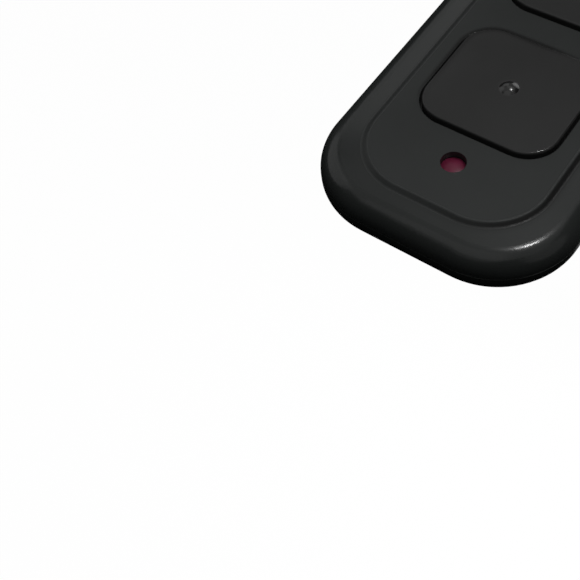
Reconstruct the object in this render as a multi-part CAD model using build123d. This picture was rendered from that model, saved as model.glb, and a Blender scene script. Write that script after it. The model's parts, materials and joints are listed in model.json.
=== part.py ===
from build123d import *
import math
import os

# Two-button remote transmitter, in millimetres. +Z is up, +Y points to the key-ring end, and
# the origin is the middle of the underside.

# Casing
body_width = 42.0
body_length = 78.0
corner_radius = 13.4
bottom_edge_radius = 3.0
parting_z = 4.0
crease_z = 7.7
shoulder_drop = 0.6
shoulder_edge_radius = 3.6
shoulder_side_width = 6.2
shoulder_end_width = 5.6
crease_corner_radius = 9.8
plateau_step = 0.5
plateau_ramp = 0.7
plateau_edge_radius = 0.3
crease_fillet = 0.4
seam_chamfer = 0.12
side_wall = 1.6
roof_thickness = 1.4
floor_thickness = 1.2
ceiling_slope = 1.8
ceiling_margin = 0.8
lip_height = 0.8
lip_thickness = 0.7
lip_clearance = 0.05

# Key-ring lug at the far end
lug_reach = 7.0
lug_width = 13.0
lug_bottom_z = 0.8
lug_corner_radius = 5.0
lug_edge_radius = 0.7
ring_hole_radius = 2.1
ring_hole_margin = 1.6

# Buttons
button_width = 22.5
button_length = 21.0
button_corner_radius = 5.1
button_gap = 0.35
button_proud = 0.7
button_edge_radius = 0.35
button_top_wall = 1.15
button_skirt_wall = 1.0
button_flange_width = 0.9
button_flange_thickness = 0.6
button_flange_play = 0.1
button_stem_radius = 1.5
button_pitch = 27.4
rear_button_from_crease = 4.5
opening_edge_radius = 0.15
nub_radius = 1.5
nub_height = 0.55

# Indicator near the end
indicator_from_button = 5.6
indicator_hole_radius = 1.95
lens_radius = 1.9
lens_crown = 0.35
lens_depth = 0.9
lens_flange_radius = 2.6
lens_flange_thickness = 0.4
lens_collar_gap = 0.1
lens_collar_wall = 0.6
lens_collar_height = 0.7
led_width = 2.0
led_length = 1.25
led_height = 0.9

# Circuit board
board_bottom_z = 4.1
board_thickness = 0.8
board_clearance = 0.45
pin_radius = 0.75
pin_clearance = 0.05
pin_post_radius = 1.7
near_pin_from_end = 8.0
far_pin_from_end = 5.7
rest_radius = 1.3
rest_from_side = 6.0
near_rest_from_end = 27.5
far_rest_from_end = 14.5
copper_thickness = 0.1
antenna_edge = 0.25
antenna_width = 0.6
antenna_from_end = 35.0

# Case screws
screw_from_side = 8.8
near_screw_from_end = 9.3
far_screw_from_end = 8.3
screw_radius = 1.0
screw_grip = 4.6
screw_head_radius = 1.9
screw_head_height = 1.0
screw_head_recess = 0.3
screw_head_clearance = 0.2
screw_hole_clearance = 0.15
screw_post_radius = 3.0
screw_web = 1.3
boss_radius = 2.2
boss_shoulder_radius = 2.8
boss_gap = 0.05
board_hole_clearance = 0.2
pilot_clearance = 0.03

# Tactile switches
switch_size = 5.2
switch_base_height = 1.0
switch_floor = 0.25
switch_well_radius = 1.8
switch_cover_thickness = 0.2
switch_cover_hole_radius = 1.15
dome_radius = 1.7
dome_height = 0.4
dome_thickness = 0.1
plunger_radius = 1.05
plunger_flange_radius = 1.45
plunger_flange_height = 0.25
plunger_gap = 0.03
plunger_rise = 0.3
terminal_thickness = 0.15
terminal_width = 0.7
terminal_foot = 0.8
terminal_pitch = 3.7
terminal_height = 0.55

# Coin cell and its contacts
cell_radius = 10.0
cell_height = 2.5
cell_step_radius = 8.8
cell_step = 0.25
cell_from_middle = 7.5
contact_thickness = 0.15
contact_gap = 0.02
positive_width = 5.0
positive_foot = 2.0
positive_lean = 0.4
positive_tip_gap = 0.2
negative_width = 4.0
negative_half_span = 6.5
negative_foot = 1.6

# Battery cap with its bayonet and seal
cap_radius = 13.2
cap_radial_gap = 0.2
cap_sunk = 0.05
cap_play = 0.05
cell_side_gap = 0.25
spigot_wall = 0.95
spigot_gap = 0.2
ledge_thickness = 0.6
ledge_overlap = 1.4
bayonet_count = 3
bayonet_angle = 24.0
bayonet_reach = 0.7
bayonet_height = 0.65
slot_spare_angle = 6.0
unlock_angle = 35.0
stop_angle = 6.0
coin_slot_width = 1.8
coin_slot_length = 16.0
coin_slot_depth = 0.5
cap_edge_chamfer = 0.2
seal_width = 0.5
seal_height = 0.5
seal_proud = 0.02
seal_side_gap = 0.05

# Chips and small parts on the board
encoder_size = (3.9, 4.9, 1.0)
transmitter_size = (3.0, 4.4, 0.9)
resonator_size = (3.8, 3.8, 1.1)
crystal_size = (3.2, 2.5, 0.8)
chip_from_switch = 3.8
resistor_x = 6.0
resistor_from_pin = 3.6
capacitor_x = 5.5
capacitor_from_indicator = 1.6
middle_row_step = 3.0
chip_lead_pitch = 1.0
chip_lead_width = 0.4
chip_lead_reach = 0.6
chip_lead_thickness = 0.15
chip_standoff = 0.1
resistor_size = (1.6, 0.8, 0.45)
capacitor_size = (1.3, 0.9, 0.55)

# Heights and places that follow from the sizes above
near_y = -(body_length + lug_reach) / 2
far_y = near_y + body_length
lug_end_y = far_y + lug_reach
middle_y = (near_y + far_y) / 2
shoulder_foot_z = crease_z - shoulder_drop
plateau_z = crease_z + plateau_step
ceiling_z = plateau_z - roof_thickness
eaves_z = ceiling_z - ceiling_slope
bottom_wall = side_wall + lip_clearance + lip_thickness
board_inset = bottom_wall + board_clearance
board_top_z = board_bottom_z + board_thickness
button_top_z = plateau_z + button_proud
button_flange_top_z = ceiling_z - button_flange_play
button_flange_bottom_z = button_flange_top_z - button_flange_thickness
rear_button_y = far_y - shoulder_end_width - rear_button_from_crease - button_length / 2
front_button_y = rear_button_y - button_pitch
middle_row_y = (front_button_y + rear_button_y) / 2
indicator_y = front_button_y - button_length / 2 - indicator_from_button
cell_y = middle_y + cell_from_middle
screw_x = body_width / 2 - screw_from_side
near_screw_y = near_y + near_screw_from_end
far_screw_y = far_y - far_screw_from_end
near_pin_y = near_y + near_pin_from_end
far_pin_y = far_y - far_pin_from_end
rest_x = body_width / 2 - rest_from_side
near_rest_y = near_y + near_rest_from_end
far_rest_y = far_y - far_rest_from_end
antenna_start_y = far_y - antenna_from_end
chip_x = switch_size / 2 + chip_from_switch
ring_hole_y = lug_end_y - ring_hole_margin - ring_hole_radius
switch_cover_z = board_top_z + switch_base_height
switch_top_z = switch_cover_z + switch_cover_thickness + plunger_rise
dome_z = board_top_z + switch_floor
plunger_z = dome_z + dome_height + plunger_gap
screw_seat_z = screw_head_recess + screw_head_height
screw_web_top_z = screw_seat_z + screw_web
boss_bottom_z = screw_web_top_z + boss_gap
screw_tip_z = screw_seat_z + screw_grip
cap_top_z = floor_thickness - cap_play
cell_bottom_z = floor_thickness
cell_top_z = cell_bottom_z + cell_height
ledge_top_z = floor_thickness + ledge_thickness
spigot_inner = cell_radius + cell_side_gap
spigot_outer = spigot_inner + spigot_wall
ledge_inner = spigot_outer + spigot_gap
bayonet_outer = spigot_outer + bayonet_reach
entry_radius = bayonet_outer + spigot_gap
bayonet_bottom_z = ledge_top_z + cap_play
bayonet_top_z = bayonet_bottom_z + bayonet_height
cap_bore_radius = cap_radius + cap_radial_gap
ledge_outer = cap_bore_radius + ledge_overlap
groove_inner = entry_radius + seal_side_gap
groove_outer = groove_inner + seal_width + 2 * seal_side_gap
seal_bottom_z = cap_top_z + seal_proud - seal_height

screw_places = [(x, y) for y in (near_screw_y, far_screw_y) for x in (-screw_x, screw_x)]
pin_places = [(0, near_pin_y), (0, far_pin_y)]
rest_places = [(x, y) for y in (near_rest_y, far_rest_y) for x in (-rest_x, rest_x)]


# Plain forms
def casing_outline(inset, height):
    face = RectangleRounded(body_width - 2 * inset, body_length - 2 * inset, corner_radius - inset)
    return Pos(0, middle_y, height) * face


def crease_outline(inset, height):
    width = body_width - 2 * (shoulder_side_width + inset)
    length = body_length - 2 * (shoulder_end_width + inset)
    return Pos(0, middle_y, height) * RectangleRounded(width, length, crease_corner_radius - inset)


def block(place, width, length, bottom, top):
    return extrude(Pos(place[0], place[1], bottom) * Rectangle(width, length), top - bottom)


def rounded_block(place, width, length, radius, bottom, top):
    face = RectangleRounded(width, length, radius)
    return extrude(Pos(place[0], place[1], bottom) * face, top - bottom)


def disc(place, radius, bottom, top):
    return extrude(Pos(place[0], place[1], bottom) * Circle(radius), top - bottom)


def ring(place, inner, outer, bottom, top):
    return disc(place, outer, bottom, top) - disc(place, inner, bottom, top)


def ring_sector(inner, outer, start, sweep, bottom, top):
    middle = Pos((inner + outer) / 2, (bottom + top) / 2)
    section = Plane.XZ * middle * Rectangle(outer - inner, top - bottom)
    return Pos(0, cell_y, 0) * Rot(0, 0, start) * revolve(section, Axis.Z, sweep)


def edges_at(shape, height):
    level = []
    for edge in shape.edges():
        box = edge.bounding_box()
        if abs(box.min.Z - height) < 0.001 and abs(box.max.Z - height) < 0.001:
            level.append(edge)
    return level


def edges_within(edges, width, length, centre_y):
    chosen = []
    for edge in edges:
        box = edge.bounding_box()
        reach_x = max(abs(box.min.X), abs(box.max.X))
        reach_y = max(abs(box.min.Y - centre_y), abs(box.max.Y - centre_y))
        if reach_x < width / 2 and reach_y < length / 2:
            chosen.append(edge)
    return chosen


def bent_strip(points, thickness, width, place):
    # The points are the strip's middle line in the XZ plane; its corners are mitred.
    left = []
    right = []
    for index, (x, z) in enumerate(points):
        before = points[max(index - 1, 0)]
        after = points[min(index + 1, len(points) - 1)]
        into = math.atan2(z - before[1], x - before[0]) if index > 0 else None
        out = math.atan2(after[1] - z, after[0] - x) if index < len(points) - 1 else None
        into = out if into is None else into
        out = into if out is None else out
        turn = (out - into) / 2
        reach = thickness / 2 / math.cos(turn)
        normal = into + turn + math.pi / 2
        left.append((x + reach * math.cos(normal), z + reach * math.sin(normal)))
        right.append((x - reach * math.cos(normal), z - reach * math.sin(normal)))
    outline = Plane.XZ * make_face(Polyline(left + right[::-1], close=True))
    return Pos(place[0], place[1] + width / 2, 0) * extrude(outline, width)


# Casing: one closed outer form, parted into two shells
def casing_form():
    walls = extrude(casing_outline(0, 0), shoulder_foot_z)
    foot = crease_outline(-plateau_ramp / 2, crease_z)
    rim = crease_outline(plateau_ramp / 2, plateau_z)
    shoulder = loft([casing_outline(0, shoulder_foot_z), foot], ruled=True)
    form = walls + shoulder
    form = fillet(edges_at(form, 0), bottom_edge_radius)
    form = fillet(edges_at(form, shoulder_foot_z), shoulder_edge_radius)
    form += loft([foot, rim], ruled=True)
    form = fillet(edges_at(form, plateau_z), plateau_edge_radius)
    return fillet(edges_at(form, crease_z), crease_fillet)


def roof_space():
    straight = extrude(casing_outline(side_wall, 0), eaves_z)
    sloped = loft(
        [casing_outline(side_wall, eaves_z), crease_outline(ceiling_margin, ceiling_z)],
        ruled=True,
    )
    return straight + sloped


def screw_boss(place):
    boss = disc(place, boss_shoulder_radius, board_top_z, ceiling_z)
    boss += disc(place, boss_radius, boss_bottom_z, ceiling_z)
    return boss


def button_opening(centre_y):
    width = button_width + 2 * button_gap
    length = button_length + 2 * button_gap
    radius = button_corner_radius + button_gap
    opening = rounded_block((0, centre_y), width, length, radius, eaves_z, button_top_z)
    # Below the roof the flange needs the same gap from any boss beside it.
    spare = 2 * button_flange_width
    room = rounded_block(
        (0, centre_y), width + spare, length + spare, radius + button_flange_width, eaves_z, ceiling_z
    )
    return opening + room


def top_cover():
    form = split(casing_form(), bisect_by=Plane.XY.offset(parting_z), keep=Keep.TOP)
    form = chamfer(edges_at(form, parting_z), seam_chamfer)
    cover = form - roof_space()
    for place in screw_places:
        cover += screw_boss(place)
        cover -= disc(place, screw_radius + pilot_clearance, boss_bottom_z, screw_tip_z + screw_radius / 2)
    collar_inner = lens_flange_radius + lens_collar_gap
    collar_outer = collar_inner + lens_collar_wall
    collar_bottom = ceiling_z - lens_collar_height
    cover += ring((0, indicator_y), collar_inner, collar_outer, collar_bottom, ceiling_z)
    cover -= disc((0, indicator_y), collar_inner, eaves_z, ceiling_z)
    cover -= disc((0, indicator_y), indicator_hole_radius, ceiling_z, plateau_z)
    for centre_y in (front_button_y, rear_button_y):
        cover -= button_opening(centre_y)
        rim = edges_within(edges_at(cover, plateau_z), button_width + 1, button_length + 1, centre_y)
        cover = fillet(rim, opening_edge_radius)
    return cover


def key_ring_lug():
    start_y = far_y - bottom_wall
    tab = block((0, (start_y + lug_end_y) / 2), lug_width, lug_end_y - start_y, lug_bottom_z, parting_z)
    upright = [edge for edge in tab.edges().filter_by(Axis.Z) if edge.center().Y > far_y]
    tab = fillet(upright, lug_corner_radius)
    rims = [edge for edge in edges_at(tab, parting_z) + edges_at(tab, lug_bottom_z)]
    return fillet([edge for edge in rims if edge.center().Y > start_y + 0.001], lug_edge_radius)


def bottom_cover():
    form = split(casing_form(), bisect_by=Plane.XY.offset(parting_z), keep=Keep.BOTTOM)
    form = chamfer(edges_at(form, parting_z), seam_chamfer)
    form += key_ring_lug()
    lip = extrude(casing_outline(side_wall + lip_clearance, parting_z), lip_height)
    cover = form + lip
    cover -= extrude(casing_outline(bottom_wall, floor_thickness), parting_z + lip_height)
    for place in screw_places:
        cover += disc(place, screw_post_radius, floor_thickness, screw_web_top_z)
        cover -= disc(place, screw_head_radius + screw_head_clearance, 0, screw_seat_z)
        cover -= disc(place, screw_radius + screw_hole_clearance, screw_seat_z, screw_web_top_z)
    for place in pin_places:
        cover += disc(place, pin_post_radius, floor_thickness, board_bottom_z)
        cover += disc(place, pin_radius, board_bottom_z, board_top_z)
    for place in rest_places:
        cover += disc(place, rest_radius, floor_thickness, board_bottom_z)
    cover -= disc((0, ring_hole_y), ring_hole_radius, lug_bottom_z, parting_z)
    centre = (0, cell_y)
    cover += disc(centre, ledge_outer, floor_thickness, ledge_top_z)
    cover -= disc(centre, cap_bore_radius, 0, floor_thickness)
    cover -= disc(centre, ledge_inner, floor_thickness, ledge_top_z)
    slot_angle = bayonet_angle + slot_spare_angle
    for start in bayonet_starts():
        entry = start + unlock_angle - slot_spare_angle / 2
        cover -= ring_sector(ledge_inner - 1, entry_radius, entry, slot_angle, floor_thickness, ledge_top_z)
    stop_start = bayonet_starts()[0] - stop_angle - slot_spare_angle / 4
    cover += ring_sector(ledge_inner, entry_radius, stop_start, stop_angle, ledge_top_z, bayonet_top_z)
    return cover


# Battery cap, turned by a coin, with three bayonet lugs that pass under the ledge
def bayonet_starts():
    return [360 / bayonet_count * turn for turn in range(bayonet_count)]


def battery_cap():
    centre = (0, cell_y)
    cap = disc(centre, cap_radius, cap_sunk, cap_top_z)
    cap = chamfer(edges_at(cap, cap_sunk), cap_edge_chamfer)
    cap += ring(centre, spigot_inner, spigot_outer, cap_top_z, bayonet_top_z)
    for start in bayonet_starts():
        cap += ring_sector(spigot_outer - 0.2, bayonet_outer, start, bayonet_angle, bayonet_bottom_z, bayonet_top_z)
    cap -= ring(centre, groove_inner, groove_outer, seal_bottom_z, cap_top_z)
    slot_face = Pos(0, cell_y, cap_sunk) * SlotOverall(coin_slot_length, coin_slot_width)
    return cap - extrude(slot_face, coin_slot_depth)


def cap_seal():
    inner = groove_inner + seal_side_gap
    return ring((0, cell_y), inner, inner + seal_width, seal_bottom_z, seal_bottom_z + seal_height)


# Buttons: a hollow cap with a retaining flange, a stem over the switch and a domed nub on top
def button(centre_y):
    centre = (0, centre_y)
    radius = button_corner_radius
    cap = rounded_block(centre, button_width, button_length, radius, button_flange_bottom_z, button_top_z)
    cap = fillet(edges_at(cap, button_top_z), button_edge_radius)
    cap += rounded_block(
        centre,
        button_width + 2 * button_flange_width,
        button_length + 2 * button_flange_width,
        radius + button_flange_width,
        button_flange_bottom_z,
        button_flange_top_z,
    )
    cap -= rounded_block(
        centre,
        button_width - 2 * button_skirt_wall,
        button_length - 2 * button_skirt_wall,
        radius - button_skirt_wall,
        button_flange_bottom_z,
        button_top_z - button_top_wall,
    )
    cap += disc(centre, button_stem_radius, switch_top_z, button_top_z - button_top_wall)
    sphere_radius = (nub_radius ** 2 + nub_height ** 2) / (2 * nub_height)
    ball = Pos(0, centre_y, button_top_z + nub_height - sphere_radius) * Sphere(sphere_radius)
    keep_above = block(centre, 4 * nub_radius, 4 * nub_radius, button_top_z - 0.1, button_top_z + 2 * nub_height)
    return cap + (ball & keep_above)


# Indicator: a lens pressed up against the roof, and the light source on the board below it
def led_lens():
    centre = (0, indicator_y)
    crown_z = plateau_z - lens_depth
    lens = disc(centre, lens_flange_radius, ceiling_z - lens_flange_thickness, ceiling_z)
    lens += disc(centre, lens_radius, ceiling_z, crown_z)
    sphere_radius = (lens_radius ** 2 + lens_crown ** 2) / (2 * lens_crown)
    ball = Pos(0, indicator_y, crown_z - sphere_radius) * Sphere(sphere_radius)
    cutter = disc(centre, lens_radius + 1, crown_z - lens_crown, crown_z + 1) - ball
    return lens - cutter


def indicator_led():
    centre = (0, indicator_y)
    base_top = board_top_z + led_height / 3
    body = block(centre, led_width, led_length, board_top_z, base_top)
    return body + block(centre, led_width * 0.6, led_length, base_top, board_top_z + led_height)


# Board and what is soldered to it
def circuit_board():
    board = extrude(casing_outline(board_inset, board_bottom_z), board_thickness)
    for place in screw_places:
        board -= disc(place, boss_radius + board_hole_clearance, board_bottom_z, board_top_z)
    for place in pin_places:
        board -= disc(place, pin_radius + pin_clearance, board_bottom_z, board_top_z)
    return board


def antenna_trace():
    outer = casing_outline(board_inset + antenna_edge, board_top_z)
    inner = casing_outline(board_inset + antenna_edge + antenna_width, board_top_z)
    loop = extrude(outer - inner, copper_thickness)
    near_part = block((0, near_y), body_width, 2 * (antenna_start_y - near_y), 0, plateau_z)
    return loop - near_part


def leaded_chip(place, size, lead_count):
    body_bottom = board_top_z + chip_standoff
    chip = block(place, size[0], size[1], body_bottom, body_bottom + size[2])
    reach = size[0] / 2 + chip_lead_reach / 2
    for index in range(lead_count):
        offset = (index - (lead_count - 1) / 2) * chip_lead_pitch
        for side in (-1, 1):
            foot = (place[0] + side * reach, place[1] + offset)
            chip += block(foot, chip_lead_reach, chip_lead_width, board_top_z, body_bottom + chip_lead_thickness)
    return chip


def encoder_chip():
    return leaded_chip((-chip_x, front_button_y), encoder_size, 4)


def transmitter_chip():
    return leaded_chip((-chip_x, rear_button_y), transmitter_size, 3)


def metal_can(place, size):
    rim = rounded_block(place, size[0], size[1], 0.4, board_top_z, board_top_z + size[2] / 3)
    lid_width = size[0] - chip_lead_width
    lid_length = size[1] - chip_lead_width
    return rim + rounded_block(place, lid_width, lid_length, 0.4, board_top_z, board_top_z + size[2])


def saw_resonator():
    return metal_can((chip_x, rear_button_y), resonator_size)


def crystal():
    return metal_can((chip_x, front_button_y), crystal_size)


def chip_row(places, size):
    row = Part()
    for place in places:
        row += block(place, size[0], size[1], board_top_z, board_top_z + size[2])
    return row


def chip_resistors():
    near_row = [(side * resistor_x, near_pin_y + resistor_from_pin) for side in (-1, 1)]
    middle_row = [(step * middle_row_step, middle_row_y) for step in (-2, -1, 1)]
    return chip_row(near_row + middle_row, resistor_size)


def chip_capacitors():
    near_row = [(side * capacitor_x, indicator_y + capacitor_from_indicator) for side in (-1, 1)]
    middle_row = [(step * middle_row_step, middle_row_y) for step in (0, 2, 3)]
    return chip_row(near_row + middle_row, capacitor_size)


# Tactile switch, one set of pieces under each button
def switch_base(centre_y):
    base = block((0, centre_y), switch_size, switch_size, board_top_z, switch_cover_z)
    return base - disc((0, centre_y), switch_well_radius, dome_z, switch_cover_z)


def switch_dome(centre_y):
    outer_radius = (dome_radius ** 2 + dome_height ** 2) / (2 * dome_height)
    outer = Pos(0, centre_y, dome_z + dome_height - outer_radius) * Sphere(outer_radius)
    inner = Pos(0, centre_y, dome_z + dome_height - outer_radius) * Sphere(outer_radius - dome_thickness)
    return (outer - inner) & disc((0, centre_y), dome_radius, dome_z, dome_z + dome_height + 1)


def switch_cover(centre_y):
    top = switch_cover_z + switch_cover_thickness
    return block((0, centre_y), switch_size, switch_size, switch_cover_z, top) - disc(
        (0, centre_y), switch_cover_hole_radius, switch_cover_z, top
    )


def switch_plunger(centre_y):
    flange = disc((0, centre_y), plunger_flange_radius, plunger_z, plunger_z + plunger_flange_height)
    return flange + disc((0, centre_y), plunger_radius, plunger_z, switch_top_z)


def switch_terminals(centre_y):
    group = Part()
    for side in (-1, 1):
        for end in (-1, 1):
            y = centre_y + end * terminal_pitch / 2
            riser_x = side * (switch_size + terminal_thickness) / 2
            foot_x = side * (switch_size + terminal_foot) / 2
            riser = block((riser_x, y), terminal_thickness, terminal_width, board_top_z, board_top_z + terminal_height)
            foot = block((foot_x, y), terminal_foot, terminal_width, board_top_z, board_top_z + terminal_thickness)
            group += riser + foot
    return group


# Power
def coin_cell():
    centre = (0, cell_y)
    cell = disc(centre, cell_radius, cell_bottom_z, cell_top_z - cell_step)
    return cell + disc(centre, cell_step_radius, cell_bottom_z, cell_top_z)


def positive_contact():
    touch_x = cell_radius + contact_gap + contact_thickness / 2
    foot_z = board_bottom_z - contact_thickness / 2
    tip_z = bayonet_top_z + positive_tip_gap
    line = [
        (touch_x + positive_lean + positive_foot, foot_z),
        (touch_x + positive_lean, foot_z),
        (touch_x, (foot_z + 2 * tip_z) / 3),
        (touch_x + positive_lean / 2, tip_z),
    ]
    return bent_strip(line, contact_thickness, positive_width, (0, cell_y))


def negative_contact():
    foot_z = board_bottom_z - contact_thickness / 2
    touch_z = cell_top_z + contact_gap + contact_thickness / 2
    line = [
        (-negative_half_span, foot_z),
        (-negative_half_span + negative_foot, foot_z),
        (-negative_foot, touch_z),
        (negative_foot, touch_z),
        (negative_half_span - negative_foot, foot_z),
        (negative_half_span, foot_z),
    ]
    return bent_strip(line, contact_thickness, negative_width, (0, cell_y))


def case_screws():
    group = Part()
    for place in screw_places:
        head = disc(place, screw_head_radius, screw_head_recess, screw_seat_z)
        head = chamfer(edges_at(head, screw_head_recess), screw_head_height / 4)
        group += head + disc(place, screw_radius, screw_seat_z, screw_tip_z)
    return group


nodes = {
    "top_cover": top_cover(),
    "bottom_cover": bottom_cover(),
    "led_lens": led_lens(),
    "indicator_led": indicator_led(),
    "circuit_board": circuit_board(),
    "antenna_trace": antenna_trace(),
    "encoder_chip": encoder_chip(),
    "transmitter_chip": transmitter_chip(),
    "saw_resonator": saw_resonator(),
    "crystal": crystal(),
    "chip_resistors": chip_resistors(),
    "chip_capacitors": chip_capacitors(),
    "coin_cell": coin_cell(),
    "positive_contact": positive_contact(),
    "negative_contact": negative_contact(),
    "battery_cap": battery_cap(),
    "cap_seal": cap_seal(),
    "case_screws": case_screws(),
}
for name, centre_y in (("front", front_button_y), ("rear", rear_button_y)):
    nodes[name + "_button"] = button(centre_y)
    nodes[name + "_switch_base"] = switch_base(centre_y)
    nodes[name + "_switch_dome"] = switch_dome(centre_y)
    nodes[name + "_switch_cover"] = switch_cover(centre_y)
    nodes[name + "_switch_plunger"] = switch_plunger(centre_y)
    nodes[name + "_switch_terminals"] = switch_terminals(centre_y)

os.makedirs("parts", exist_ok=True)
for name, shape in nodes.items():
    export_step(shape, "parts/" + name + ".step")
    print(name, len(shape.solids()), "solids", round(shape.volume, 2), "mm3")
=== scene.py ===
import json
import math

import bpy
from mathutils import Matrix, Vector


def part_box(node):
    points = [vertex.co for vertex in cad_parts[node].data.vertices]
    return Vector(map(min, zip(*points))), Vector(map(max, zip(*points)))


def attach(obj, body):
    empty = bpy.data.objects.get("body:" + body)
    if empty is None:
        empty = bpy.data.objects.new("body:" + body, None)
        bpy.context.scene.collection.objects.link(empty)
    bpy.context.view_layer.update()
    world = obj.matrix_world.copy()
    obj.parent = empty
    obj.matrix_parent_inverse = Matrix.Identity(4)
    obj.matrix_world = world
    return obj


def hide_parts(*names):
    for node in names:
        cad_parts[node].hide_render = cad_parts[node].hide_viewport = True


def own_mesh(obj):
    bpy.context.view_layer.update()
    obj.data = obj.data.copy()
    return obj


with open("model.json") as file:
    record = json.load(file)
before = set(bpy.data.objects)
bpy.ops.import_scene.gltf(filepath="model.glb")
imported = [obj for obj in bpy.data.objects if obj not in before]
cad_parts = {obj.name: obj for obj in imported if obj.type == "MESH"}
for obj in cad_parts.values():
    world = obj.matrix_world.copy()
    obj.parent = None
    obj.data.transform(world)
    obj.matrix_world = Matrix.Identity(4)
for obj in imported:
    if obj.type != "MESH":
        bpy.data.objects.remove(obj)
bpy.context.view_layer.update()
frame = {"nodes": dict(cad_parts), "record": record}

print("frame loaded:", len(frame["nodes"]), "nodes")


# A shader socket that takes part in plain arithmetic
class Signal:
    def __init__(self, graph, socket):
        self.graph = graph
        self.socket = socket

    def maths(self, operation, first, second):
        return self.graph.node("ShaderNodeMath", {"operation": operation}, {0: first, 1: second})

    def __add__(self, other):
        return self.maths("ADD", self, other)

    def __radd__(self, other):
        return self.maths("ADD", other, self)

    def __sub__(self, other):
        return self.maths("SUBTRACT", self, other)

    def __rsub__(self, other):
        return self.maths("SUBTRACT", other, self)

    def __mul__(self, other):
        return self.maths("MULTIPLY", self, other)

    def __rmul__(self, other):
        return self.maths("MULTIPLY", other, self)

    def __pow__(self, other):
        return self.maths("POWER", self, other)

    def __abs__(self):
        return self.maths("ABSOLUTE", self, 0.0)

    def atLeast(self, least):
        return self.maths("MAXIMUM", self, least)


# A node tree with one end node
class Graph:
    def __init__(self, tree, endKind):
        self.tree = tree
        tree.nodes.clear()
        self.end = tree.nodes.new(endKind)

    def node(self, kind, settings, inputs, output=0):
        made = self.tree.nodes.new(kind)
        for key, value in settings.items():
            if key == "stops":
                self.setStops(made.color_ramp, value)
            else:
                setattr(made, key, value)
        for key, value in inputs.items():
            self.feed(made.inputs[key], value)
        return Signal(self, made.outputs[output])

    def setStops(self, ramp, stops):
        while len(ramp.elements) < len(stops):
            ramp.elements.new(1.0)
        for element, (position, colour) in zip(ramp.elements, stops):
            element.position = position
            element.color = (*colour, 1.0)

    def feed(self, socket, value):
        if isinstance(value, Signal):
            self.tree.links.new(value.socket, socket)
        else:
            socket.default_value = value


class Finish(Graph):
    def __init__(self, name, baseLook):
        self.material = bpy.data.materials.new(name)
        self.material.use_nodes = True
        super().__init__(self.material.node_tree, "ShaderNodeOutputMaterial")
        self.shader = self.tree.nodes.new("ShaderNodeBsdfPrincipled")
        self.tree.links.new(self.shader.outputs[0], self.end.inputs["Surface"])
        for socketName, value in baseLook.items():
            self.drive(socketName, value)

    def drive(self, socketName, value):
        self.feed(self.shader.inputs[socketName], value)

    def place(self):  # the piece's own coordinates, in metres
        return self.node("ShaderNodeTexCoord", {}, {}, "Object")

    def axes(self):
        return [self.node("ShaderNodeSeparateXYZ", {}, {0: self.place()}, axis) for axis in "XYZ"]

    def noise(self, scale, detail=3.0, roughness=0.55):
        sockets = {"Vector": self.place(), "Scale": scale, "Detail": detail, "Roughness": roughness}
        return self.node("ShaderNodeTexNoise", {}, sockets, "Fac")

    def ramp(self, value, stops):
        return self.node("ShaderNodeValToRGB", {"stops": list(stops)}, {"Fac": value}, "Color")

    def rise(self, value, start, end):  # 0 at start, 1 at end
        sockets = {"Value": value, "From Min": start, "From Max": end}
        return self.node("ShaderNodeMapRange", {"clamp": True}, sockets, "Result")

    def band(self, value, first, second):
        return self.rise(value, *first) * self.rise(value, *second)

    def outline(self, middle, halfSize, radius):  # distance outwards from a rounded rectangle
        x, y, _ = self.axes()
        across = (abs(x - middle[0]) - (halfSize[0] - radius)).atLeast(0.0)
        along = (abs(y - middle[1]) - (halfSize[1] - radius)).atLeast(0.0)
        return (across * across + along * along) ** 0.5 - radius

    def bump(self, height, depth):
        sockets = {"Height": height, "Distance": depth, "Strength": 1.0}
        self.drive("Normal", self.node("ShaderNodeBump", {}, sockets, "Normal"))


def grey(level):
    return (level, level, level)


# Middle of a node, seen from above
def middleOf(nodeName):
    low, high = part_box(nodeName)
    return (low.x + high.x) / 2, (low.y + high.y) / 2


# Moulded plastic: fine spark-eroded grain, and patches of sheen from handling
handlingLook = {
    "patchScale": 38.0,
    "patchDetail": 4.0,
    "grainDetail": 2.0,
    "grainSheen": 0.05,
    "wearScale": 130.0,
    "wearDetail": 5.0,
    "wearRoughness": 0.6,
    "wearSheen": 0.10,
    "tones": (0.0, 0.3, 0.7),  # where painted shade, dark plastic and light plastic stand on the ramp
}


def mouldedFinish(name, look):
    return Finish(name, {"Specular IOR Level": look["specular"], "IOR": 1.5})


def mouldedColour(finish, look, unshaded, shadeTone):  # the mask is 1 where unshaded, and 0 where the painted shade covers all
    patches = finish.noise(handlingLook["patchScale"], handlingLook["patchDetail"]) * unshaded
    tones = (shadeTone, look["dark"], look["light"])
    finish.drive("Base Color", finish.ramp(patches, zip(handlingLook["tones"], tones)))


def mouldedGrain(finish, look):  # gives the roughness
    handling = handlingLook
    grain = finish.noise(look["grainScale"], handling["grainDetail"])
    wear = finish.noise(handling["wearScale"], handling["wearDetail"], handling["wearRoughness"])
    finish.bump(grain, look["grainDepth"])
    return look["roughness"] + handling["wearSheen"] * (wear - 0.5) + handling["grainSheen"] * (grain - 0.5)


# Painted shade along the gap round each button, thickest along the far and the left edge
buttonNodes = ("front_button", "rear_button")
buttonRimLook = {
    "size": (0.0225, 0.0210),
    "radius": 0.0051,
    "outerBand": (0.0014, 0.0007),
    "innerBand": (-0.0013, -0.0002),
    "side": (-0.003, 0.010),
    "strength": 1.0,
}


def buttonRimShade(finish, rim, nodeName, band):
    middle = middleOf(nodeName)
    away = finish.outline(middle, (rim["size"][0] / 2, rim["size"][1] / 2), rim["radius"])
    x, y, _ = finish.axes()
    # the painted shade falls mostly on the far and the left side
    lee = finish.rise((y - middle[1]) - (x - middle[0]), *rim["side"])
    return rim["strength"] * finish.rise(away, *band) * lee


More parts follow.
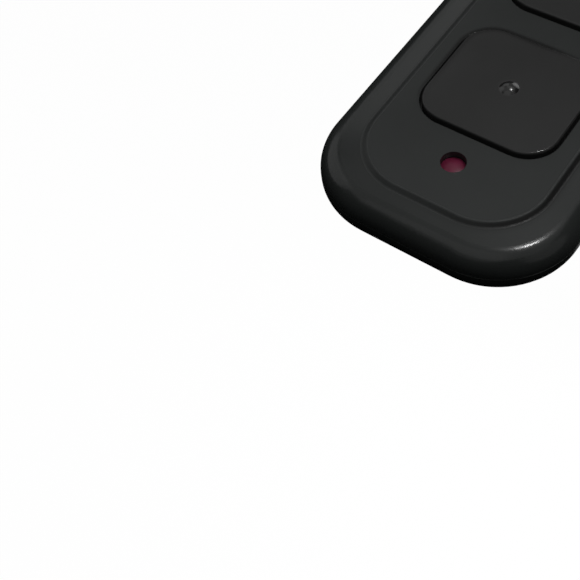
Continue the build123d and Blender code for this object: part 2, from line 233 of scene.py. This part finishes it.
casingLook = {
    "dark": (0.0262, 0.0288, 0.0280),
    "light": (0.0326, 0.0356, 0.0346),
    "grainScale": 5200.0,
    "grainDepth": 0.000003,
    "roughness": 0.20,
    "specular": 0.35,
}
creaseLook = {  # the fold between shoulder and flat top, rougher along the fold and darkened with painted shade, darkest on the right
    "middle": (0.0, -0.0035),
    "halfSize": (0.0148, 0.0334),
    "radius": 0.0098,
    "dullBand": ((0.0007, 0.0003), (-0.0007, -0.0004)),
    "creaseShadeBand": ((0.0015, 0.0003), (-0.0004, -0.0001)),
    "creaseShadeSide": (-0.011, 0.012),
    "above": (0.0065, 0.0072),
    "roughness": 0.30,
    # the tone of the painted shade along the crease
    "creaseShade": (0.0040, 0.0044, 0.0042),
}


def makeCasingPlastic(name, look, crease, rim):
    finish = mouldedFinish(name, look)
    x, _, z = finish.axes()
    away = finish.outline(crease["middle"], crease["halfSize"], crease["radius"])
    top = finish.rise(z, *crease["above"])
    fold = top * finish.band(away, *crease["dullBand"])
    # painted shade: a dark band along the crease, darkest on the right, and round each button gap
    creaseShade = top * finish.band(away, *crease["creaseShadeBand"]) * finish.rise(x, *crease["creaseShadeSide"])
    unshaded = 1 - creaseShade
    for nodeName in buttonNodes:
        unshaded = unshaded * (1 - top * buttonRimShade(finish, rim, nodeName, rim["outerBand"]))
    mouldedColour(finish, look, unshaded, crease["creaseShade"])
    finish.drive("Roughness", mouldedGrain(finish, look) + crease["roughness"] * fold)
    return finish


buttonLook = {
    "dark": (0.0264, 0.0267, 0.0264),
    "light": (0.0328, 0.0331, 0.0328),
    "grainScale": 6400.0,
    "grainDepth": 0.000002,
    "roughness": 0.20,
    "specular": 0.35,
    # the tone of the painted shade round the rim and on the nub
    "deep": (0.0080, 0.0080, 0.0079),
    "nubRadius": (0.0018, 0.0014),
    # how far the nub is darkened with painted shade
    "nubShade": 0.8,
    "nubCoat": 0.7,
    "nubRoughness": 0.20,
}


def makeButtonPlastic(name, look, rim, nodeName):  # the thumb has polished the nub in the middle, which gets a coat; the nub and the rim by the gap are darkened with painted shade
    finish = mouldedFinish(name, look)
    rimShade = buttonRimShade(finish, rim, nodeName, rim["innerBand"])
    middle = middleOf(nodeName)
    x, y, _ = finish.axes()
    across = x - middle[0]
    along = y - middle[1]
    nubSpot = finish.rise((across * across + along * along) ** 0.5, *look["nubRadius"])
    # painted shade round the rim and over the nub, towards the deep tone
    mouldedColour(finish, look, (1 - rimShade) * (1 - look["nubShade"] * nubSpot), look["deep"])
    finish.drive("Roughness", mouldedGrain(finish, look))
    finish.drive("Coat Weight", look["nubCoat"] * nubSpot)
    finish.drive("Coat Roughness", look["nubRoughness"])
    return finish


lensLook = {
    "deep": (0.165, 0.015, 0.046),
    "bright": (0.200, 0.021, 0.060),
    "tones": (0.3, 0.7),
    "cloudScale": 900.0,
    "cloudDetail": 2.0,
    "roughness": 0.30,
    "frost": 0.08,
    "frostScale": 2600.0,
}


def makeRedLens(name, look):
    finish = Finish(name, {"IOR": 1.49, "Transmission Weight": 0.1, "Specular IOR Level": 0.3})
    cloud = finish.noise(look["cloudScale"], look["cloudDetail"])
    finish.drive("Base Color", finish.ramp(cloud, zip(look["tones"], (look["deep"], look["bright"]))))
    finish.drive("Roughness", look["roughness"] + look["frost"] * finish.noise(look["frostScale"]))
    return finish


def surfaceLook(name, dark, light, roughness, scale):
    return {"name": name, "dark": dark, "light": light, "roughness": roughness, "scale": scale}


# Metals, by material slot: stained in patches and finely scratched
metalLooks = {
    "switch_steel": surfaceLook("switchSteel", grey(0.46), grey(0.60), 0.30, 1800.0),
    "cell_steel": surfaceLook("cellSteel", grey(0.50), grey(0.66), 0.26, 1400.0),
    "contact_steel": surfaceLook("contactSteel", grey(0.48), grey(0.64), 0.24, 1900.0),
    "screw_steel": surfaceLook("screwSteel", grey(0.30), grey(0.46), 0.34, 2600.0),
    "tinned_metal": surfaceLook("tinnedMetal", grey(0.55), grey(0.70), 0.36, 3400.0),
    "metal_can": surfaceLook("metalCan", (0.56, 0.53, 0.47), (0.70, 0.67, 0.60), 0.28, 1500.0),
    "copper": surfaceLook("copper", (0.42, 0.17, 0.08), (0.62, 0.29, 0.15), 0.32, 2400.0),
}
scratchLook = {
    "tones": (0.3, 0.7),
    "stainShare": 1 / 6,
    "stainDetail": 4.0,
    "detail": 5.0,
    "roughness": 0.7,
    "sheen": 0.16,
    "depth": 0.000002,
}


def makeMetal(look, scratches):
    finish = Finish(look["name"], {"Metallic": 1.0})
    stain = finish.noise(look["scale"] * scratches["stainShare"], scratches["stainDetail"])
    finish.drive("Base Color", finish.ramp(stain, zip(scratches["tones"], (look["dark"], look["light"]))))
    scratch = finish.noise(look["scale"], scratches["detail"], scratches["roughness"])
    finish.drive("Roughness", look["roughness"] + scratches["sheen"] * (scratch - 0.5))
    finish.bump(scratch, scratches["depth"])
    return finish


# Plain materials, by material slot: fine speckles over soft clouds
plainLooks = {
    "led_package": surfaceLook("ledPackage", (0.62, 0.60, 0.54), (0.74, 0.72, 0.66), 0.42, 1500.0),
    "board_green": surfaceLook("boardGreen", (0.010, 0.060, 0.022), (0.018, 0.105, 0.040), 0.30, 700.0),
    "chip_black": surfaceLook("chipBlack", grey(0.010), grey(0.020), 0.52, 4200.0),
    "resistor_black": surfaceLook("resistorBlack", grey(0.008), grey(0.022), 0.35, 3000.0),
    "capacitor_tan": surfaceLook("capacitorTan", (0.30, 0.19, 0.10), (0.42, 0.28, 0.16), 0.45, 3600.0),
    "switch_plastic": surfaceLook("switchPlastic", grey(0.012), grey(0.024), 0.44, 3100.0),
    "seal_rubber": surfaceLook("sealRubber", grey(0.009), grey(0.017), 0.72, 5200.0),
}
speckleLook = {
    "tones": (0.35, 0.65),
    "detail": 4.0,
    "cloudShare": 1 / 8,
    "cloudDetail": 2.0,
    "sheen": 0.12,
    "depth": 0.000004,
}


def makePlain(look, speckles):
    finish = Finish(look["name"], {"Specular IOR Level": 0.45})
    speckle = finish.noise(look["scale"], speckles["detail"])
    cloud = finish.noise(look["scale"] * speckles["cloudShare"], speckles["cloudDetail"])
    blend = 0.5 * speckle + 0.5 * cloud
    finish.drive("Base Color", finish.ramp(blend, zip(speckles["tones"], (look["dark"], look["light"]))))
    finish.drive("Roughness", look["roughness"] + speckles["sheen"] * (cloud - 0.5))
    finish.bump(speckle, speckles["depth"])
    return finish


finishes = {
    "casing_plastic": makeCasingPlastic("charcoalCasing", casingLook, creaseLook, buttonRimLook),
    "cap_plastic": makeCasingPlastic("charcoalCap", casingLook, creaseLook, buttonRimLook),
    "button_plastic": makeButtonPlastic("charcoalButton", buttonLook, buttonRimLook, "front_button"),
    "red_lens": makeRedLens("crimsonLens", lensLook),
}
for slotName, look in plainLooks.items():
    finishes[slotName] = makePlain(look, speckleLook)
for slotName, look in metalLooks.items():
    finishes[slotName] = makeMetal(look, scratchLook)
rearPlastic = makeButtonPlastic("charcoalRearButton", buttonLook, buttonRimLook, "rear_button")
print("finishes made:", len(finishes) + 1)


# Every node takes the finish of its material slot, the rear button its own
slotOfNode = {entry["node"]: entry["material_slot"] for entry in frame["record"]["subparts"]}


def paint(piece, finish):
    piece.data.materials.clear()
    piece.data.materials.append(finish.material)


for nodeName, node in frame["nodes"].items():
    paint(node, finishes[slotOfNode[nodeName]])
paint(frame["nodes"]["rear_button"], rearPlastic)
print("nodes painted:", len(slotOfNode))


# Pieces that stand for a node start as a merged copy of it
copyLook = {"mergeDistance": 0.000002, "smoothAngle": 28.0}


def selectOnly(piece):
    bpy.ops.object.select_all(action="DESELECT")
    piece.hide_set(False)
    piece.select_set(True)
    bpy.context.view_layer.objects.active = piece


def mergedCopy(name, nodeName, body):
    source = frame["nodes"][nodeName]
    piece = bpy.data.objects.new(name, source.data.copy())
    bpy.context.scene.collection.objects.link(piece)
    selectOnly(piece)
    bpy.ops.object.mode_set(mode="EDIT")
    bpy.ops.mesh.select_all(action="SELECT")
    bpy.ops.mesh.remove_doubles(threshold=copyLook["mergeDistance"])
    bpy.ops.object.mode_set(mode="OBJECT")
    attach(piece, body)
    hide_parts(nodeName)
    return piece


def smoothAndPaint(piece, nodeName):
    selectOnly(piece)
    angle = math.radians(copyLook["smoothAngle"])
    bpy.ops.object.shade_smooth_by_angle(angle=angle, keep_sharp_edges=False)
    paint(piece, finishes[slotOfNode[nodeName]])


# Case screws with a cross recess in each head
screwLook = {
    "headRadius": 0.0019,
    "armLength": 0.0022,
    "armWidth": 0.00045,
    "armDepth": 0.0006,
    "armEdge": 0.00009,
    "armEdgeSegments": 2,
    "firstTurn": 17,
    "nextTurn": 38,
}


def screwCentres(look):
    low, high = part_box("case_screws")
    xs = (low.x + look["headRadius"], high.x - look["headRadius"])
    ys = (low.y + look["headRadius"], high.y - look["headRadius"])
    return [Vector((x, y, low.z)) for x in xs for y in ys]


def crossArm(look, centre, turn):
    bpy.ops.object.select_all(action="DESELECT")
    bpy.ops.mesh.primitive_cube_add(size=1.0)
    arm = bpy.context.object
    bpy.ops.object.mode_set(mode="EDIT")
    bpy.ops.mesh.select_all(action="SELECT")
    bpy.ops.transform.resize(value=(look["armLength"], look["armWidth"], 2 * look["armDepth"]))
    bpy.ops.mesh.bevel(offset=look["armEdge"], segments=look["armEdgeSegments"], affect="EDGES")
    bpy.ops.object.mode_set(mode="OBJECT")
    arm.data.transform(Matrix.Translation(centre) @ Matrix.Rotation(turn, 4, "Z"))
    return arm


def makeScrews(look):
    screws = mergedCopy("recessedScrews", "case_screws", "casing")
    for index, centre in enumerate(screwCentres(look)):
        turn = math.radians(look["firstTurn"] + look["nextTurn"] * index)  # each stopped at its own angle
        for quarter in (0, 1):
            arm = crossArm(look, centre, turn + quarter * math.pi / 2)
            selectOnly(screws)
            cut = screws.modifiers.new("recess", "BOOLEAN")
            cut.operation = "DIFFERENCE"
            cut.solver = "EXACT"
            cut.object = arm
            bpy.ops.object.modifier_apply(modifier=cut.name)
            bpy.data.objects.remove(arm)
    smoothAndPaint(screws, "case_screws")


makeScrews(screwLook)
print("screws recessed")


def makeSnapDome(name, nodeName):
    dome = mergedCopy(name, nodeName, "casing")
    smoothAndPaint(dome, nodeName)
    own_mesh(dome)


makeSnapDome("frontSnapDome", "front_switch_dome")
makeSnapDome("rearSnapDome", "rear_switch_dome")
print("snap domes made")


# Floor, well below the piece as under a glass table, so that the underside can be seen
floorLook = {"size": 12.0, "drop": 0.9, "glow": 0.985, "colour": grey(0.03)}
white = (1.0, 1.0, 1.0, 1.0)


def makeFloor(look):
    bpy.ops.object.select_all(action="DESELECT")
    bpy.ops.mesh.primitive_plane_add(size=look["size"], location=(0, 0, -look["drop"]))
    floor = bpy.context.object
    floor.name = "studioFloor"
    finish = Finish("paleFloor", {
        "Base Color": (*look["colour"], 1.0),
        "Roughness": 0.9,
        "Specular IOR Level": 0.0,
        "Emission Color": white,
        "Emission Strength": look["glow"],
    })
    floor.data.materials.append(finish.material)
    floor.visible_diffuse = False
    floor.visible_glossy = False
    floor.visible_transmission = False


makeFloor(floorLook)
print("floor laid")


# Studio light: a wide soft box overhead, softer ones round it, two from far below for the
# underside, of which the strong one gives no reflection, and one small key lamp
lightLook = {
    "overheadBox": {"place": (0.0, -0.02, 0.708), "size": 1.2, "power": 1.18},
    "farBox": {"place": (-0.0905, 0.6133, 0.6413), "size": 1.0, "power": 0.54},
    "nearBox": {"place": (0.0, -0.37, 0.6142), "size": 0.70, "power": 0.26},
    "rightBox": {"place": (0.6062, -0.02, 0.358), "size": 0.60, "power": 0.22},
    "leftBox": {"place": (-0.6062, -0.02, 0.358), "size": 0.60, "power": 0.50},
    "leftFarBox": {"place": (-0.4287, 0.4087, 0.358), "size": 0.38, "power": 0.16},
    "farLowBox": {"place": (0.05, 0.75, 0.15), "size": 0.50, "power": 0.60},
    "underBox": {"place": (0.04, 0.74, -0.44), "size": 1.0, "power": 0.70},
    "underFill": {"place": (0.04, 0.74, -0.44), "size": 1.0, "power": 8.0, "glossy": False},
    "keyLamp": {"place": (0.087, 0.144, 0.575), "size": 0.05, "power": 0.75},
}
lightAim = (0, -0.02, 0.008)


def aimMatrix(place, aim):
    direction = Vector(aim) - Vector(place)
    return Matrix.Translation(place) @ direction.to_track_quat("-Z", "Y").to_matrix().to_4x4()


def makeLight(name, look):
    bpy.ops.object.light_add(type="AREA")
    lamp = bpy.context.object
    lamp.name = name
    lamp.data.shape = "DISK"
    lamp.data.size = look["size"]
    lamp.data.energy = look["power"]
    lamp.visible_camera = False
    lamp.visible_glossy = look.get("glossy", True)
    lamp.matrix_world = aimMatrix(look["place"], lightAim)


for name, look in lightLook.items():
    makeLight(name, look)
print("lights placed:", len(lightLook))


# The room looks white and gives no light of its own
roomLook = {"strength": 0.0, "seen": 0.99}


def makeRoom(look):
    world = bpy.data.worlds.new("room")
    bpy.context.scene.world = world
    world.use_nodes = True
    room = Graph(world.node_tree, "ShaderNodeOutputWorld")
    direct = room.node("ShaderNodeLightPath", {}, {}, "Is Camera Ray")
    given = room.node("ShaderNodeBackground", {}, {"Strength": look["strength"]})
    seen = room.node("ShaderNodeBackground", {}, {"Color": white, "Strength": look["seen"]})
    mixed = room.node("ShaderNodeMixShader", {}, {0: direct, 1: given, 2: seen})
    room.feed(room.end.inputs["Surface"], mixed)


makeRoom(roomLook)
bpy.context.scene.view_settings.view_transform = "Standard"
print("stage set")


# Camera, at the photograph's viewing angle
cameraLook = {
    "place": (0.046534, -0.110786, 0.123177),
    "azimuth": 46.315,
    "elevation": 57.062,
    "roll": -11.981,
    "lens": 61.77,
    "sensor": 36.0,
}


def makeCamera(look):
    bpy.ops.object.camera_add()
    camera = bpy.context.object
    camera.data.lens = look["lens"]
    camera.data.sensor_width = look["sensor"]
    camera.data.clip_start = 0.005
    camera.data.clip_end = 50.0
    turn = Matrix.Rotation(math.radians(look["azimuth"]), 4, "Z")
    tip = Matrix.Rotation(math.radians(90 - look["elevation"]), 4, "X")
    roll = Matrix.Rotation(math.radians(look["roll"]), 4, "Z")
    camera.matrix_world = Matrix.Translation(look["place"]) @ turn @ tip @ roll
    bpy.context.scene.camera = camera


makeCamera(cameraLook)
print("camera placed")
